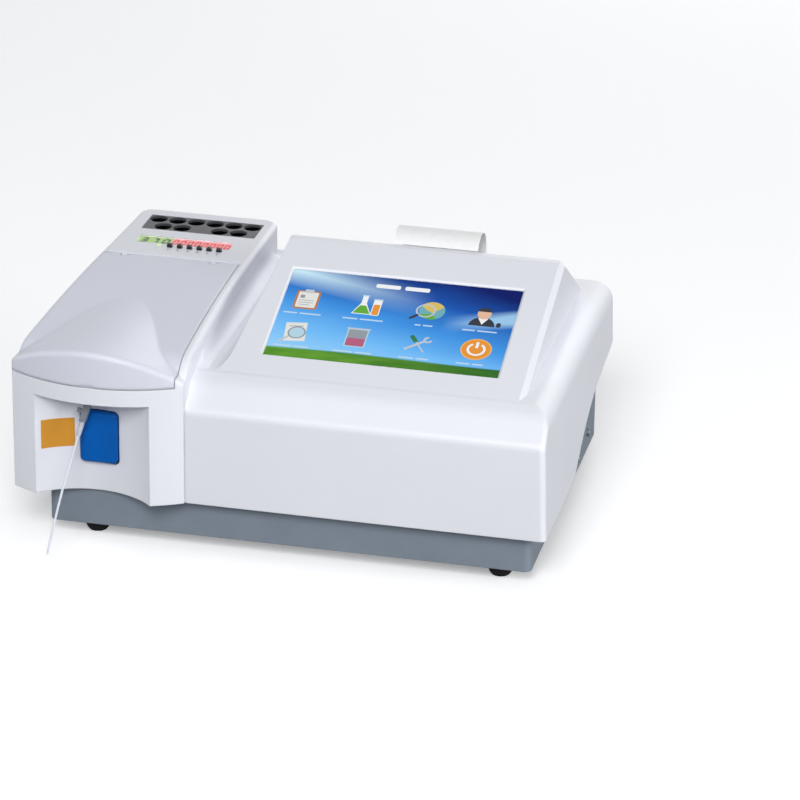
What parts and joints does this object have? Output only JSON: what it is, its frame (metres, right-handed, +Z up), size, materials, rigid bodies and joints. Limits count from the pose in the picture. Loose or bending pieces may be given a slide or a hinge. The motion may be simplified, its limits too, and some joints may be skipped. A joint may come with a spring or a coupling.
{
  "type": "veterinary blood analyzer",
  "caption": "Bench blood analyzer with a sloping touch screen, sipper in a front recess, hinged lid over the flow cell, tube incubator and paper printer.",
  "frame": {"origin": "bottom centre of the bounding box on the bench, without the free sipper tube", "axes": "+X to the operator's right, -Y to the front, +Z up"},
  "size_m": [0.351, 0.2907, 0.1715],
  "materials": {
    "cover_plastic": "fine satin moulding",
    "chassis_paint": "satin powder coat",
    "black_rubber": "matte",
    "screw_steel": "bright",
    "black_plastic": "matte",
    "zinc_sheet": "plain zinc-plated sheet",
    "machined_aluminium": "machined",
    "motor_body": "satin",
    "pump_plastic": "matte",
    "screen_glass": "gloss, lit picture",
    "red_window": "gloss smoked",
    "green_display": "lit digits",
    "circuit_board": "solder mask",
    "lamp_lens": "clear tinted",
    "blue_paddle": "gloss",
    "clamp_grey": "matte",
    "clear_tube": "translucent",
    "amber_film": "satin film",
    "paper": "matte paper"
  },
  "bodies": {
    "housing": {"amber_label": "amber_film", "chassis": "chassis_paint", "cover_screws": "screw_steel", "data_ports": "zinc_sheet", "detector": "black_plastic", "display_board": "circuit_board", "display_window": "red_window", "fan_frame": "black_plastic", "fan_guard": "zinc_sheet", "feet": "black_rubber", "filter_motor": "motor_body", "flow_cell_block": "machined_aluminium", "hinge_pins": "screw_steel", "incubator_block": "machined_aluminium", "incubator_bracket": "zinc_sheet", "incubator_panel": "black_plastic", "inner_tray": "zinc_sheet", "lamp_house": "machined_aluminium", "lcd_module": "black_plastic", "main_board": "circuit_board", "paddle_bracket": "zinc_sheet", "paper_web": "paper", "power_inlet": "black_plastic", "power_supply": "zinc_sheet", "power_switch": "black_plastic", "print_head": "screw_steel", "printer_frame": "black_plastic", "pump_head": "pump_plastic", "pump_motor": "motor_body", "pump_tubing": "clear_tube", "rear_panel": "chassis_paint", "sample_tubing": "clear_tube", "screen_bracket": "zinc_sheet", "sipper_clamp": "clamp_grey", "sipper_collar": "black_plastic", "sipper_sleeve": "clear_tube", "sipper_tube": "clear_tube", "small_screws": "screw_steel", "status_led": "lamp_lens", "temp_display": "green_display", "timer_display": "red_window", "top_cover": "cover_plastic", "touch_panel": "screen_glass", "waste_nozzle": "pump_plastic"},
    "lid": {"flow_cell_lid": "cover_plastic"},
    "door": {"printer_door": "cover_plastic", "paper_curl": "paper"},
    "platen": {"platen_roller": "black_rubber"},
    "roll": {"paper_roll": "paper"},
    "fan": {"fan_rotor": "black_plastic"},
    "wheel": {"filter_wheel": "machined_aluminium"},
    "pump": {"pump_rotor": "screw_steel"},
    "paddle": {"start_paddle": "blue_paddle"},
    "rocker": {"switch_rocker": "black_plastic"},
    "button_1": {"timer_button_1": "black_plastic"},
    "button_2": {"timer_button_2": "black_plastic"},
    "button_3": {"timer_button_3": "black_plastic"},
    "button_4": {"timer_button_4": "black_plastic"},
    "button_5": {"timer_button_5": "black_plastic"},
    "button_6": {"timer_button_6": "black_plastic"}
  },
  "joints": [
    {"name": "lid_hinge", "type": "hinge", "parent": "housing", "child": "lid", "pos_m": [-0.1182, 0.0418, 0.1385], "axis": [-1, 0, 0], "range_deg": [0, 80]},
    {"name": "printer_door_hinge", "type": "hinge", "parent": "housing", "child": "door", "pos_m": [0.0599, 0.10231, 0.12861], "axis": [-1, 0, 0], "range_deg": [0, 85]},
    {"name": "platen_spin", "type": "hinge", "parent": "door", "child": "platen", "pos_m": [0.0662, 0.05256, 0.15256], "axis": [1, 0, 0], "continuous": true},
    {"name": "roll_spin", "type": "hinge", "parent": "housing", "child": "roll", "pos_m": [0.0662, 0.06989, 0.1266], "axis": [1, 0, 0], "continuous": true},
    {"name": "fan_spin", "type": "hinge", "parent": "housing", "child": "fan", "pos_m": [-0.099, 0.111, 0.048], "axis": [0, 1, 0], "continuous": true},
    {"name": "filter_wheel_spin", "type": "hinge", "parent": "housing", "child": "wheel", "pos_m": [-0.144, -0.02, 0.095], "axis": [1, 0, 0], "continuous": true},
    {"name": "pump_spin", "type": "hinge", "parent": "housing", "child": "pump", "pos_m": [-0.092, -0.072, 0.1163], "axis": [0, 0, 1], "continuous": true},
    {"name": "paddle_hinge", "type": "hinge", "parent": "housing", "child": "paddle", "pos_m": [-0.1189, -0.101, 0.0895], "axis": [1, 0, 0], "range_deg": [0, 5], "stiffness_Nm_per_rad": 0.1, "springref_deg": -5.73},
    {"name": "power_rocker", "type": "hinge", "parent": "housing", "child": "rocker", "pos_m": [0.084, 0.119, 0.036], "axis": [0, 0, -1], "range_deg": [0, 10]},
    {"name": "timer_button_1_press", "type": "slide", "parent": "housing", "child": "button_1", "axis": [0, 0, -1], "range_m": [0, 0.0006], "stiffness_N_per_m": 500, "springref_m": -0.0004},
    {"name": "timer_button_2_press", "type": "slide", "parent": "housing", "child": "button_2", "axis": [0, 0, -1], "range_m": [0, 0.0006], "stiffness_N_per_m": 500, "springref_m": -0.0004},
    {"name": "timer_button_3_press", "type": "slide", "parent": "housing", "child": "button_3", "axis": [0, 0, -1], "range_m": [0, 0.0006], "stiffness_N_per_m": 500, "springref_m": -0.0004},
    {"name": "timer_button_4_press", "type": "slide", "parent": "housing", "child": "button_4", "axis": [0, 0, -1], "range_m": [0, 0.0006], "stiffness_N_per_m": 500, "springref_m": -0.0004},
    {"name": "timer_button_5_press", "type": "slide", "parent": "housing", "child": "button_5", "axis": [0, 0, -1], "range_m": [0, 0.0006], "stiffness_N_per_m": 500, "springref_m": -0.0004},
    {"name": "timer_button_6_press", "type": "slide", "parent": "housing", "child": "button_6", "axis": [0, 0, -1], "range_m": [0, 0.0006], "stiffness_N_per_m": 500, "springref_m": -0.0004}
  ]
}
